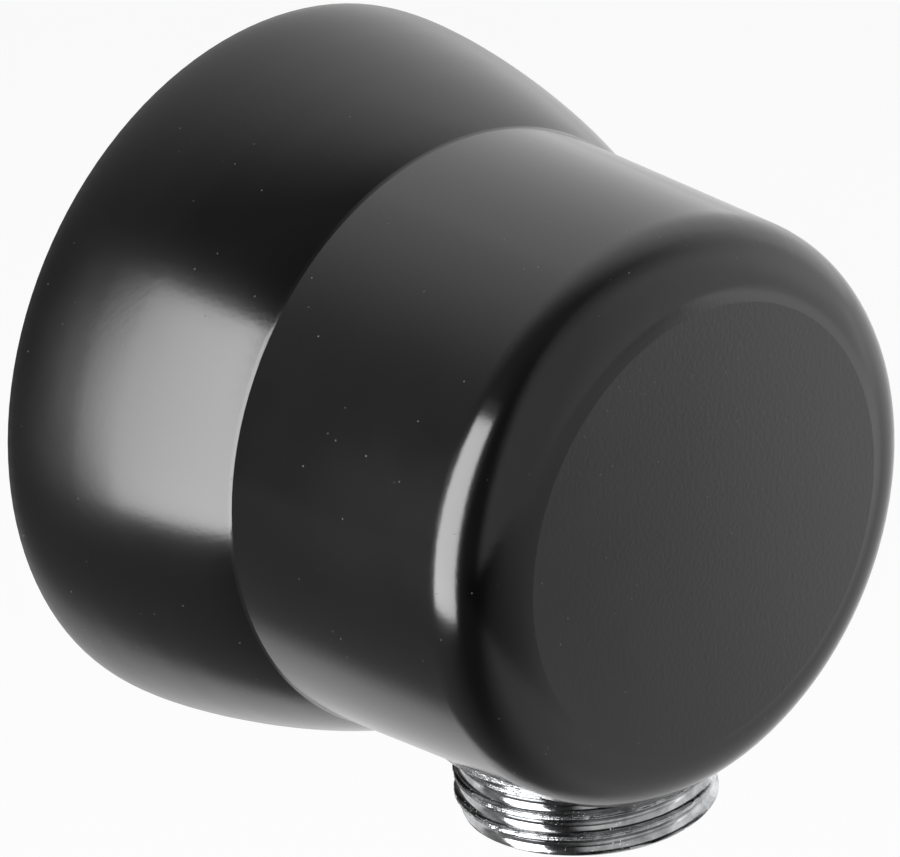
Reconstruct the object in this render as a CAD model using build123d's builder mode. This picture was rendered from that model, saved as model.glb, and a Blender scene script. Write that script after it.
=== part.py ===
from build123d import *
import os

os.makedirs("parts", exist_ok=True)

# Shower hose wall outlet. A round housing with a brass elbow inside slides over a nipple that is
# screwed into the pipe fitting in the wall. The hose screws onto the threaded outlet underneath,
# which holds a check valve.
# Millimetres. Z is up, the wall is the plane Y = 0 and the room is on its -Y side.
# The origin is where the inlet axis meets the wall.
# "Depth" is measured from the wall into the room, "drop" downwards from the inlet axis.

# G 1/2 pipe thread (ISO 228), used at the wall and for the hose
thread_crest_radius = 20.955 / 2
thread_root_radius = 18.631 / 2
thread_pitch = 1.814
thread_root_flat = 0.25
thread_flank_slope = 0.5206

# housing
base_radius = 28.75
dome_bulge = 1.3
dome_shoulder = 0.6
crease_radius = 24.55
crease_depth = 21.7
crease_fillet = 0.8
front_radius = 23.8
housing_depth = 48.85
front_rounding = 5.6
rim_chamfer = 0.3
housing_wall = 2.2
ledge_width = 2.4
ledge_thickness = 1.8
gasket_thickness = 1.6

# hose outlet
front_gap = 0.53
outlet_drop = 28.3
hose_nut_room = 2.2
thread_length = 6.7
thread_runout = 0.6
thread_chamfer = 0.5
outlet_spigot_top = 8.5
outlet_spigot_wall = 2.4
outlet_ring_down = 4.4
collar_thickness = 1.3
collar_washer_thickness = 0.8
recess_floor_thickness = 2.0
recess_sleeve_wall = 1.8
nipple_room = 0.4
collar_room = 0.5

# wall nipple
wall_thread_length = 13.0
spigot_radius = 8.5
spigot_end = 24.0
spigot_end_gap = 0.6
flange_start = 2.0
flange_thickness = 3.0
flange_overhang = 4.5
washer_overhang = 0.6
washer_room = 0.9
nipple_bore_radius = 4.9
nipple_key_size = 10.0
nipple_key_length = 4.5
strainer_radius = 7.0
strainer_length = 3.0
strainer_lip = 1.0
mesh_radius = 5.9
mesh_thickness = 0.25
mesh_hole_radius = 0.42
mesh_web = 0.46

# o-rings, drawn as squeezed in their grooves
ring_section_radius = 0.88
ring_groove_width = 2.4
ring_groove_land = 1.6
small_ring_section_radius = 0.66
small_ring_groove_width = 1.8
cage_ring_section_radius = 0.6
cage_ring_groove_width = 1.5

# elbow
socket_start = 6.5
socket_lead = 0.7
socket_wall = 3.6
collar_extra = 1.0
collar_end = 15.0
neck_cut = 0.7
water_bore_radius = 6.2
boss_wall = 2.9
plug_radius = 8.0
plug_length = 4.3
plug_land = 1.0
plug_slot_width = 1.6
plug_slot_depth = 1.1
plug_gap = 0.9

# retaining plate and its screws
plate_thickness = 1.5
plate_rim = 4.0
plate_leg_drop = 9.0
screw_radius = 1.45
screw_head_radius = 2.6
screw_head_height = 1.9
screw_head_gap = 0.6
screw_cross_length = 2.8
screw_cross_width = 0.6
screw_cross_depth = 1.2
screw_length = 8.0
screw_washer_radius = 3.0
screw_washer_thickness = 0.5
screw_boss_radius = 3.0
screw_start_angle = 20
screw_spread = 210
rib_width = 1.6
rib_start = 23.7

# grub screw
grub_depth = 10.5
grub_radius = 2.5
grub_length = 4.4
grub_key_size = 2.5
grub_key_depth = 2.4
grub_access_radius = 3.0

# check valve
valve_bore_radius = 7.2
valve_step = 1.0
valve_top_drop = 12.2
cage_length = 12.2
seat_thickness = 3.0
seat_overlap = 0.7
cage_wall = 1.5
poppet_flow_gap = 1.02
poppet_thickness = 1.2
poppet_stem_radius = 1.2
poppet_nub_radius = 1.6
seal_thickness = 0.65
guide_thickness = 2.0
guide_hub_radius = 2.8
guide_rim = 0.9
guide_arm_width = 1.1
spring_wire_radius = 0.2
spring_radius = 1.95
spring_turns = 4.5
snap_ring_wire = 1.0
snap_ring_bite = 0.6
snap_ring_width = 1.6
snap_ring_mouth = 5.0

# small edges and clearances
edge_break = 0.5
cut_over = 1.0
loose_hole = 0.15
running_fit = 0.06
slip = 0.02
ring_fit = 0.03
cage_fit = 0.08

# positions that follow
outlet_spigot_radius = valve_bore_radius + outlet_spigot_wall
boss_bore_radius = outlet_spigot_radius + slip
boss_radius = boss_bore_radius + boss_wall
outlet_depth = housing_depth - housing_wall - front_gap - boss_radius
socket_radius = spigot_radius + running_fit
barrel_radius = socket_radius + socket_wall
collar_radius = barrel_radius + collar_extra
neck_radius = barrel_radius - neck_cut
plate_front = collar_end + plate_thickness
screw_circle = collar_radius + screw_head_radius + screw_head_gap
elbow_front = housing_depth - housing_wall - plug_gap
plug_rear = elbow_front - plug_length
gasket_radius = base_radius - housing_wall
ledge_radius = gasket_radius - ledge_width
recess_radius = thread_crest_radius + hose_nut_room
thread_top = outlet_drop - thread_length
collar_top = thread_top - collar_thickness
recess_floor = collar_top - collar_washer_thickness
boss_end = recess_floor - recess_floor_thickness
valve_end_drop = valve_top_drop + cage_length
cage_radius = valve_bore_radius - cage_fit
cage_bore_radius = cage_radius - cage_wall
poppet_radius = cage_bore_radius - poppet_flow_gap
orifice_radius = poppet_radius - seat_overlap
seat_drop = valve_top_drop + seat_thickness
poppet_top = seat_drop + seal_thickness
poppet_bottom = poppet_top + poppet_thickness
guide_top = valve_end_drop - guide_thickness

inlet_axis = Axis.Y
outlet_axis = Axis((0, -outlet_depth, 0), (0, 0, 1))
# sections through each axis, with sketch x as radius and sketch y as depth or drop
inlet_section = Plane(origin=(0, 0, 0), x_dir=(1, 0, 0), z_dir=(0, 0, -1))
outlet_section = Plane(origin=(0, -outlet_depth, 0), x_dir=(1, 0, 0), z_dir=(0, 1, 0))


def at_depth(depth):
    """Plane parallel to the wall, with sketch y pointing up."""
    return Plane.XZ.offset(depth)


def at_drop(drop):
    """Level plane centred on the outlet axis; a positive extrusion goes down."""
    return Plane(origin=(0, -outlet_depth, -drop), x_dir=(1, 0, 0), z_dir=(0, 0, -1))


def below_grub(drop):
    """Level plane centred on the grub screw's axis; a positive extrusion goes down."""
    return Plane(origin=(0, -grub_depth, -drop), x_dir=(1, 0, 0), z_dir=(0, 0, -1))


def turn(section, axis, points, mode=Mode.ADD):
    """Turn a closed outline of (radius, height) points round an axis."""
    with BuildSketch(section) as outline:
        with BuildLine():
            Polyline(*points, close=True)
        make_face()
    revolve(outline.sketch, axis=axis, mode=mode)


def turn_ring(section, axis, radius, height, section_radius):
    """Turn a round-section ring."""
    with BuildSketch(section) as outline:
        with Locations((radius, height)):
            Circle(section_radius)
    revolve(outline.sketch, axis=axis)


def cut_thread(section, axis, start, end):
    """Cut the thread form as evenly spaced grooves between two heights."""
    count = int((end - start) / thread_pitch)
    depth = thread_crest_radius - thread_root_radius
    root = thread_root_flat / 2
    mouth = root + (depth + cut_over) * thread_flank_slope
    outline = [
        (thread_root_radius, -root),
        (thread_crest_radius + cut_over, -mouth),
        (thread_crest_radius + cut_over, mouth),
        (thread_root_radius, root),
    ]
    with BuildSketch(section) as grooves:
        with Locations((0, (start + end) / 2)):
            with GridLocations(1, thread_pitch, 1, count):
                Polygon(*outline, align=None)
    revolve(grooves.sketch, axis=axis, mode=Mode.SUBTRACT)


def turn_bell(inset):
    """Turn the housing's outer shape, moved inwards by inset."""
    front = housing_depth - inset
    side = front_radius - inset
    corner = front_rounding - inset
    rear = base_radius - inset
    shoulder = base_radius - dome_shoulder - inset
    with BuildSketch(inlet_section) as outline:
        with BuildLine():
            dome = Bezier(
                (rear, 0),
                (rear + dome_bulge, 0),
                (shoulder, crease_depth * 2 / 3),
                (crease_radius - inset, crease_depth),
            )
            Line(dome @ 1, (side, front - corner))
            CenterArc((side - corner, front - corner), corner, 0, 90)
            Polyline((side - corner, front), (0, front), (0, 0), (rear, 0))
        make_face()
    revolve(outline.sketch, axis=inlet_axis)


def screw_places(radius):
    """The three places for screws, above and beside the inlet axis."""
    return PolarLocations(radius, 3, start_angle=screw_start_angle, angular_range=screw_spread)


# hollow of the housing, less the ledge, outlet sleeve, screw bosses and ribs left standing in it
with BuildPart() as housing_hollow:
    turn_bell(housing_wall)
    with BuildSketch(at_depth(gasket_thickness)):
        Circle(base_radius + dome_bulge)
        Circle(ledge_radius, mode=Mode.SUBTRACT)
    extrude(amount=ledge_thickness, mode=Mode.SUBTRACT)
    with BuildSketch(at_drop(boss_end)):
        Circle(recess_radius + recess_sleeve_wall)
    extrude(amount=base_radius, mode=Mode.SUBTRACT)
    with BuildSketch(at_depth(plate_front)):
        with screw_places(screw_circle):
            Circle(screw_boss_radius)
    extrude(amount=housing_depth, mode=Mode.SUBTRACT)
    with BuildSketch(at_depth(rib_start)):
        with screw_places((screw_circle + front_radius) / 2):
            Rectangle(front_radius - screw_circle, rib_width)
    extrude(amount=housing_depth, mode=Mode.SUBTRACT)

with BuildPart() as housing:
    turn_bell(0)
    creases = housing.edges().filter_by_position(Axis.Y, -crease_depth - slip, -crease_depth + slip)
    fillet(creases, crease_fillet)
    turn(
        inlet_section,
        inlet_axis,
        [
            (base_radius - rim_chamfer, 0),
            (base_radius + cut_over, 0),
            (base_radius + cut_over, rim_chamfer + cut_over),
        ],
        mode=Mode.SUBTRACT,
    )
    add(housing_hollow.part, mode=Mode.SUBTRACT)
    with BuildSketch(at_drop(recess_floor)):
        Circle(recess_radius)
    extrude(amount=base_radius, mode=Mode.SUBTRACT)
    with BuildSketch(at_drop(boss_end - cut_over)):
        Circle(outlet_spigot_radius + nipple_room)
    extrude(amount=recess_floor_thickness + 2 * cut_over, mode=Mode.SUBTRACT)
    with BuildSketch(at_depth(plate_front - cut_over)):
        with screw_places(screw_circle):
            Circle(screw_radius + running_fit)
    extrude(amount=screw_length + cut_over, mode=Mode.SUBTRACT)
    with BuildSketch(below_grub(collar_radius)):
        Circle(grub_access_radius)
    extrude(amount=base_radius, mode=Mode.SUBTRACT)
housing.part.label = "housing"

with BuildPart() as wall_gasket:
    with BuildSketch(at_depth(0)):
        Circle(gasket_radius - running_fit)
        Circle(ledge_radius + loose_hole, mode=Mode.SUBTRACT)
    extrude(amount=gasket_thickness)
wall_gasket.part.label = "wall_gasket"

# brass elbow: a socket for the wall nipple, a barrel, and a boss pointing down for the outlet
with BuildPart() as elbow_body:
    turn(
        inlet_section,
        inlet_axis,
        [
            (0, socket_start),
            (collar_radius, socket_start),
            (collar_radius, collar_end),
            (neck_radius, collar_end),
            (neck_radius, plate_front),
            (barrel_radius, plate_front),
            (barrel_radius, elbow_front - edge_break),
            (barrel_radius - edge_break, elbow_front),
            (0, elbow_front),
        ],
    )
    with BuildSketch(at_drop(0)):
        Circle(boss_radius)
    extrude(amount=boss_end)
    turn(
        inlet_section,
        inlet_axis,
        [
            (0, socket_start),
            (socket_radius + socket_lead, socket_start),
            (socket_radius, socket_start + 2 * socket_lead),
            (socket_radius, spigot_end + spigot_end_gap),
            (water_bore_radius, spigot_end + spigot_end_gap),
            (water_bore_radius, plug_rear),
            (plug_radius, plug_rear),
            (plug_radius, elbow_front),
            (0, elbow_front),
        ],
        mode=Mode.SUBTRACT,
    )
    with BuildSketch(at_drop(0)):
        Circle(water_bore_radius)
    extrude(amount=boss_end, mode=Mode.SUBTRACT)
    with BuildSketch(at_drop(outlet_spigot_top - loose_hole)):
        Circle(boss_bore_radius)
    extrude(amount=boss_end, mode=Mode.SUBTRACT)
    with BuildSketch(below_grub(0)):
        Circle(grub_radius + running_fit)
    extrude(amount=base_radius, mode=Mode.SUBTRACT)
elbow_body.part.label = "elbow_body"

# plug that closes the drilled front of the elbow
plug_side = plug_radius - slip
plug_groove_start = plug_rear + plug_land
plug_groove_end = plug_groove_start + small_ring_groove_width
with BuildPart() as front_plug:
    turn(
        inlet_section,
        inlet_axis,
        [
            (0, plug_rear),
            (plug_side, plug_rear),
            (plug_side, plug_groove_start),
            (plug_side - 2 * small_ring_section_radius, plug_groove_start),
            (plug_side - 2 * small_ring_section_radius, plug_groove_end),
            (plug_side, plug_groove_end),
            (plug_side, elbow_front - edge_break),
            (plug_side - edge_break, elbow_front),
            (0, elbow_front),
        ],
    )
    with BuildSketch(at_depth(elbow_front)):
        Rectangle(2 * plug_radius, plug_slot_width)
    extrude(amount=-plug_slot_depth, mode=Mode.SUBTRACT)
front_plug.part.label = "front_plug"

with BuildPart() as plug_o_ring:
    turn_ring(
        inlet_section,
        inlet_axis,
        plug_side - small_ring_section_radius,
        (plug_groove_start + plug_groove_end) / 2,
        small_ring_section_radius,
    )
plug_o_ring.part.label = "plug_o_ring"

# wall nipple: thread into the wall, flange, and a spigot with two o-ring grooves
ring_centre = socket_radius - ring_fit - ring_section_radius
ring_floor = ring_centre - ring_section_radius
rear_ring_depth = grub_depth + grub_radius + ring_groove_width
front_ring_depth = rear_ring_depth + ring_groove_width + ring_groove_land
with BuildPart() as wall_nipple:
    turn(
        inlet_section,
        inlet_axis,
        [
            (0, -wall_thread_length),
            (thread_crest_radius - thread_chamfer, -wall_thread_length),
            (thread_crest_radius, -wall_thread_length + thread_chamfer),
            (thread_crest_radius, flange_start),
            (spigot_radius + flange_overhang, flange_start),
            (spigot_radius + flange_overhang, flange_start + flange_thickness),
            (spigot_radius, flange_start + flange_thickness),
            (spigot_radius, spigot_end - 2 * edge_break),
            (spigot_radius - edge_break, spigot_end),
            (0, spigot_end),
        ],
    )
    with BuildSketch(inlet_section):
        with Locations((ring_floor, rear_ring_depth), (ring_floor, front_ring_depth)):
            Rectangle(socket_wall, ring_groove_width, align=(Align.MIN, Align.CENTER))
    revolve(axis=inlet_axis, mode=Mode.SUBTRACT)
    cut_thread(inlet_section, inlet_axis, -wall_thread_length + thread_chamfer, flange_start - thread_runout)
    with BuildSketch(at_depth(-wall_thread_length)):
        Circle(nipple_bore_radius)
    extrude(amount=wall_thread_length + spigot_end, mode=Mode.SUBTRACT)
    with BuildSketch(at_depth(-wall_thread_length)):
        Circle(strainer_radius)
    extrude(amount=strainer_length, mode=Mode.SUBTRACT)
    with BuildSketch(at_depth(spigot_end)):
        RegularPolygon(nipple_key_size / 2, 6, major_radius=False)
    extrude(amount=-nipple_key_length, mode=Mode.SUBTRACT)
wall_nipple.part.label = "wall_nipple"

with BuildPart() as rear_o_ring:
    turn_ring(
        inlet_section,
        inlet_axis,
        ring_centre,
        rear_ring_depth,
        ring_section_radius,
    )
rear_o_ring.part.label = "rear_o_ring"

with BuildPart() as front_o_ring:
    turn_ring(
        inlet_section,
        inlet_axis,
        ring_centre,
        front_ring_depth,
        ring_section_radius,
    )
front_o_ring.part.label = "front_o_ring"

with BuildPart() as wall_washer:
    with BuildSketch(at_depth(0)):
        Circle(spigot_radius + flange_overhang + washer_overhang)
        Circle(thread_crest_radius + washer_room, mode=Mode.SUBTRACT)
    extrude(amount=flange_start)
wall_washer.part.label = "wall_washer"

# strainer at the wall end of the nipple
strainer_mouth = -wall_thread_length + loose_hole
strainer_floor = -wall_thread_length + strainer_length
mesh_depth = strainer_floor - strainer_lip
with BuildPart() as strainer_frame:
    turn(
        inlet_section,
        inlet_axis,
        [
            (strainer_radius - slip, strainer_mouth),
            (strainer_radius - slip, strainer_floor),
            (mesh_radius - strainer_lip, strainer_floor),
            (mesh_radius - strainer_lip, mesh_depth),
            (mesh_radius, mesh_depth),
            (mesh_radius, strainer_mouth),
        ],
    )
strainer_frame.part.label = "strainer_frame"

with BuildPart() as strainer_mesh:
    with BuildSketch(at_depth(mesh_depth)):
        Circle(mesh_radius - running_fit)
        with HexLocations(mesh_hole_radius + mesh_web / 2, 7, 7):
            Circle(mesh_hole_radius, mode=Mode.SUBTRACT)
    extrude(amount=-mesh_thickness)
strainer_mesh.part.label = "strainer_mesh"

# outlet nipple: spigot up into the elbow, collar under the recess floor, hose thread
outlet_ring_floor = outlet_spigot_radius - 2 * small_ring_section_radius
outlet_ring_drop = outlet_spigot_top + outlet_ring_down
with BuildPart() as outlet_nipple:
    turn(
        outlet_section,
        outlet_axis,
        [
            (0, outlet_spigot_top),
            (outlet_spigot_radius - edge_break, outlet_spigot_top),
            (outlet_spigot_radius, outlet_spigot_top + edge_break),
            (outlet_spigot_radius, collar_top),
            (recess_radius - collar_room, collar_top),
            (recess_radius - collar_room, thread_top),
            (thread_crest_radius, thread_top),
            (thread_crest_radius, outlet_drop - thread_chamfer),
            (thread_crest_radius - thread_chamfer, outlet_drop),
            (0, outlet_drop),
        ],
    )
    with BuildSketch(outlet_section):
        with Locations((outlet_ring_floor, outlet_ring_drop)):
            Rectangle(boss_wall, small_ring_groove_width, align=(Align.MIN, Align.CENTER))
    revolve(axis=outlet_axis, mode=Mode.SUBTRACT)
    cut_thread(outlet_section, outlet_axis, thread_top + thread_runout, outlet_drop - thread_chamfer)
    with BuildSketch(at_drop(outlet_spigot_top)):
        Circle(valve_bore_radius - valve_step)
    extrude(amount=outlet_drop, mode=Mode.SUBTRACT)
    with BuildSketch(at_drop(valve_top_drop)):
        Circle(valve_bore_radius)
    extrude(amount=outlet_drop, mode=Mode.SUBTRACT)
    with BuildSketch(at_drop(valve_end_drop)):
        Circle(valve_bore_radius + snap_ring_bite)
    extrude(amount=snap_ring_wire + loose_hole, mode=Mode.SUBTRACT)
outlet_nipple.part.label = "outlet_nipple"

with BuildPart() as outlet_o_ring:
    turn_ring(
        outlet_section,
        outlet_axis,
        outlet_spigot_radius - small_ring_section_radius,
        outlet_ring_drop,
        small_ring_section_radius,
    )
outlet_o_ring.part.label = "outlet_o_ring"

with BuildPart() as collar_washer:
    with BuildSketch(at_drop(recess_floor)):
        Circle(recess_radius - collar_room)
        Circle(outlet_spigot_radius + slip, mode=Mode.SUBTRACT)
    extrude(amount=collar_washer_thickness)
collar_washer.part.label = "collar_washer"

# check valve, from the top down: seat in the cage, seal, poppet, spring, guide, snap ring
cage_ring_floor = cage_radius - 2 * cage_ring_section_radius
cage_ring_drop = valve_top_drop + seat_thickness / 2
cage_groove_top = cage_ring_drop - cage_ring_groove_width / 2
cage_groove_end = cage_ring_drop + cage_ring_groove_width / 2
with BuildPart() as valve_cage:
    turn(
        outlet_section,
        outlet_axis,
        [
            (orifice_radius, valve_top_drop),
            (cage_radius, valve_top_drop),
            (cage_radius, cage_groove_top),
            (cage_ring_floor, cage_groove_top),
            (cage_ring_floor, cage_groove_end),
            (cage_radius, cage_groove_end),
            (cage_radius, valve_end_drop),
            (cage_bore_radius, valve_end_drop),
            (cage_bore_radius, seat_drop),
            (orifice_radius, seat_drop),
        ],
    )
valve_cage.part.label = "valve_cage"

with BuildPart() as cage_o_ring:
    turn_ring(
        outlet_section,
        outlet_axis,
        cage_radius - cage_ring_section_radius,
        cage_ring_drop,
        cage_ring_section_radius,
    )
cage_o_ring.part.label = "cage_o_ring"

with BuildPart() as valve_poppet:
    turn(
        outlet_section,
        outlet_axis,
        [
            (0, seat_drop),
            (poppet_nub_radius, seat_drop),
            (poppet_nub_radius, poppet_top),
            (poppet_radius, poppet_top),
            (poppet_radius, poppet_bottom - edge_break),
            (poppet_radius - edge_break, poppet_bottom),
            (poppet_stem_radius, poppet_bottom),
            (poppet_stem_radius, (guide_top + valve_end_drop) / 2),
            (0, (guide_top + valve_end_drop) / 2),
        ],
    )
valve_poppet.part.label = "valve_poppet"

with BuildPart() as poppet_seal:
    with BuildSketch(at_drop(seat_drop + slip)):
        Circle(poppet_radius - running_fit)
        Circle(poppet_nub_radius + slip, mode=Mode.SUBTRACT)
    extrude(amount=seal_thickness - slip)
poppet_seal.part.label = "poppet_seal"

with BuildPart() as valve_spring:
    spring_height = guide_top - poppet_bottom - 2 * spring_wire_radius - 2 * slip
    with BuildLine():
        coil = Helix(
            pitch=spring_height / spring_turns,
            height=spring_height,
            radius=spring_radius,
            center=(0, -outlet_depth, -guide_top + spring_wire_radius + slip),
        )
    with BuildSketch(Plane(origin=coil @ 0, z_dir=coil % 0)):
        Circle(spring_wire_radius)
    sweep(is_frenet=True)
valve_spring.part.label = "valve_spring"

with BuildPart() as valve_guide:
    with BuildSketch(at_drop(guide_top)):
        Circle(cage_bore_radius - slip)
        Circle(cage_bore_radius - guide_rim, mode=Mode.SUBTRACT)
        Circle(guide_hub_radius)
        with PolarLocations((cage_bore_radius - guide_rim + guide_hub_radius) / 2, 4):
            Rectangle(cage_bore_radius - guide_hub_radius, guide_arm_width)
        Circle(poppet_stem_radius + running_fit, mode=Mode.SUBTRACT)
    extrude(amount=guide_thickness)
valve_guide.part.label = "valve_guide"

with BuildPart() as snap_ring:
    with BuildSketch(at_drop(valve_end_drop + slip)):
        Circle(valve_bore_radius + snap_ring_bite - running_fit)
        Circle(valve_bore_radius + snap_ring_bite - snap_ring_width, mode=Mode.SUBTRACT)
        with Locations((0, valve_bore_radius)):
            Rectangle(snap_ring_mouth, 2 * snap_ring_width, mode=Mode.SUBTRACT)
    extrude(amount=snap_ring_wire)
snap_ring.part.label = "snap_ring"

# horseshoe plate that hooks round the elbow's neck and is screwed to the housing
plate_slot = neck_radius + running_fit
below = (Align.CENTER, Align.MAX)
with BuildPart() as retaining_plate:
    with BuildSketch(at_depth(collar_end)):
        Circle(screw_circle + plate_rim)
        Circle(plate_slot, mode=Mode.SUBTRACT)
        Rectangle(2 * plate_slot, base_radius, align=below, mode=Mode.SUBTRACT)
        with Locations((0, -plate_leg_drop)):
            Rectangle(2 * base_radius, base_radius, align=below, mode=Mode.SUBTRACT)
        with screw_places(screw_circle):
            Circle(screw_radius + loose_hole, mode=Mode.SUBTRACT)
    extrude(amount=plate_thickness)
retaining_plate.part.label = "retaining_plate"

with BuildPart() as screw_washers:
    with BuildSketch(at_depth(collar_end)):
        with screw_places(screw_circle):
            Circle(screw_washer_radius)
        with screw_places(screw_circle):
            Circle(screw_radius + loose_hole, mode=Mode.SUBTRACT)
    extrude(amount=-screw_washer_thickness)
screw_washers.part.label = "screw_washers"

head_seat = collar_end - screw_washer_thickness
with BuildPart() as housing_screws:
    with BuildSketch(at_depth(head_seat)):
        with screw_places(screw_circle):
            Circle(screw_head_radius)
    extrude(amount=-screw_head_height)
    with BuildSketch(at_depth(head_seat)):
        with screw_places(screw_circle):
            Circle(screw_radius)
    extrude(amount=screw_length)
    with BuildSketch(at_depth(head_seat - screw_head_height)):
        with screw_places(screw_circle):
            Rectangle(screw_cross_length, screw_cross_width)
            Rectangle(screw_cross_width, screw_cross_length)
    extrude(amount=screw_cross_depth, mode=Mode.SUBTRACT)
housing_screws.part.label = "housing_screws"

# grub screw that locks the elbow to the wall nipple, reached from underneath
grub_tip = socket_radius + running_fit
with BuildPart() as grub_screw:
    with BuildSketch(below_grub(grub_tip)):
        Circle(grub_radius)
    extrude(amount=grub_length)
    chamfer(grub_screw.edges().group_by(Axis.Z)[-1], edge_break)
    with BuildSketch(below_grub(grub_tip + grub_length)):
        RegularPolygon(grub_key_size / 2, 6, major_radius=False)
    extrude(amount=-grub_key_depth, mode=Mode.SUBTRACT)
grub_screw.part.label = "grub_screw"

built = [
    housing,
    wall_gasket,
    elbow_body,
    front_plug,
    plug_o_ring,
    wall_nipple,
    rear_o_ring,
    front_o_ring,
    wall_washer,
    strainer_frame,
    strainer_mesh,
    outlet_nipple,
    outlet_o_ring,
    collar_washer,
    valve_cage,
    cage_o_ring,
    valve_poppet,
    poppet_seal,
    valve_spring,
    valve_guide,
    snap_ring,
    retaining_plate,
    screw_washers,
    housing_screws,
    grub_screw,
]
for piece in built:
    export_step(piece.part, f"parts/{piece.part.label}.step")
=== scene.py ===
import math

import bmesh
import bpy
from mathutils import Matrix, Vector, noise


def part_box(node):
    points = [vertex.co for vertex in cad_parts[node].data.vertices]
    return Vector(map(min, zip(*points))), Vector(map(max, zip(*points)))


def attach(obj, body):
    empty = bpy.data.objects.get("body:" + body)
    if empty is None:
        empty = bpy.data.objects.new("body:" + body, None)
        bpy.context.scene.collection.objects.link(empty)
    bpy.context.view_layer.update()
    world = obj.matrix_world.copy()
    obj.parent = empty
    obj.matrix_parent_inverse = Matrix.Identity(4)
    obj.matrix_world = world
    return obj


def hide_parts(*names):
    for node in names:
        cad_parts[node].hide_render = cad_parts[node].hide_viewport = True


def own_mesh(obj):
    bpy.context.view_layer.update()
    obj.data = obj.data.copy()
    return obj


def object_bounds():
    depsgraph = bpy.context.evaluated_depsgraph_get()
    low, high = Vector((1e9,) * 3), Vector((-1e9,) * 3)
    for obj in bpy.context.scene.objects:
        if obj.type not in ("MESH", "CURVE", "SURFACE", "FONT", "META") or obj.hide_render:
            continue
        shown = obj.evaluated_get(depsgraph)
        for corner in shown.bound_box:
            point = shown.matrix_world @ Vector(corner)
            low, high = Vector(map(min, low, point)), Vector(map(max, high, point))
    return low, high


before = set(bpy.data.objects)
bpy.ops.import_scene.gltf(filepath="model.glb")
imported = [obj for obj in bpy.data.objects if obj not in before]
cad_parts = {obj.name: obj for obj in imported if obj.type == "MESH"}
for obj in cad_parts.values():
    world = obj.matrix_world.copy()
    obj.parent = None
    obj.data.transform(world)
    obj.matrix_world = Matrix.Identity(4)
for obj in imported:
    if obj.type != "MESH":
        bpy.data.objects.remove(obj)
cad_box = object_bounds()
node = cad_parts


# ---------------------------------------------------------------- camera
# A long lens from the left, in front and a little above, so that the bell, its flat front and
# the threaded outlet under it all show.
camera_target = Vector((0.0, -0.025, 0.0))
camera_back = Vector((-0.59826, -0.67263, 0.43549)).normalized()
camera_right = Vector((0.72866, -0.68278, -0.05356)).normalized()
camera_up = camera_back.cross(camera_right)
camera_distance = 0.66924

camera = bpy.data.objects.new("camera", bpy.data.cameras.new("camera"))
bpy.context.scene.collection.objects.link(camera)
camera.matrix_world = Matrix.Translation(camera_target + camera_back * camera_distance) @ Matrix(
    (camera_right, camera_up, camera_back)
).transposed().to_4x4()
camera.data.sensor_width = 36.0
camera.data.lens = 342.1
camera.data.shift_x = -0.0481
camera.data.shift_y = 0.0146
camera.data.clip_start = 0.05
camera.data.clip_end = 20.0
camera.data.dof.use_dof = False
bpy.context.scene.camera = camera


# ---------------------------------------------------------------- housing
# One bell-shaped shell, cast, smoothed and sprayed in satin black. It carries the elbow inside
# and slides over the wall nipple, so it rides with the outlet side.
def new_material(name):
    """An empty procedural material with a Principled shader, as (material, tree, shader)."""
    material = bpy.data.materials.new(name)
    material.use_nodes = True
    tree = material.node_tree
    tree.nodes.clear()
    surface = tree.nodes.new("ShaderNodeBsdfPrincipled")
    output = tree.nodes.new("ShaderNodeOutputMaterial")
    tree.links.new(surface.outputs["BSDF"], output.inputs["Surface"])
    return material, tree, surface


def add_node(tree, kind, settings=None, inputs=None):
    """One shader node with its settings and its unlinked inputs."""
    made = tree.nodes.new(kind)
    for name, value in (settings or {}).items():
        setattr(made, name, value)
    for name, value in (inputs or {}).items():
        made.inputs[name].default_value = value
    return made


def new_group(name, inputs, outputs):
    """A shader node group with named number inputs and named outputs."""
    group = bpy.data.node_groups.new(name, "ShaderNodeTree")
    for label, value in inputs.items():
        socket = group.interface.new_socket(label, in_out="INPUT", socket_type="NodeSocketFloat")
        socket.default_value = value
    for label, kind in outputs.items():
        group.interface.new_socket(label, in_out="OUTPUT", socket_type=kind)
    return group, add_node(group, "NodeGroupInput"), add_node(group, "NodeGroupOutput")


def place_group(tree, group, **inputs):
    """A node group placed in a material with that material's own values."""
    placed = add_node(tree, "ShaderNodeGroup", {"node_tree": group})
    for label, value in inputs.items():
        placed.inputs[label.replace("_", " ")].default_value = value
    return placed


def repaint(piece, material):
    """Gives a piece, or a CAD node that stays, its finish in every material slot."""
    if not piece.material_slots:
        piece.data.materials.append(material)
    for place in piece.material_slots:
        place.material = material


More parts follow.
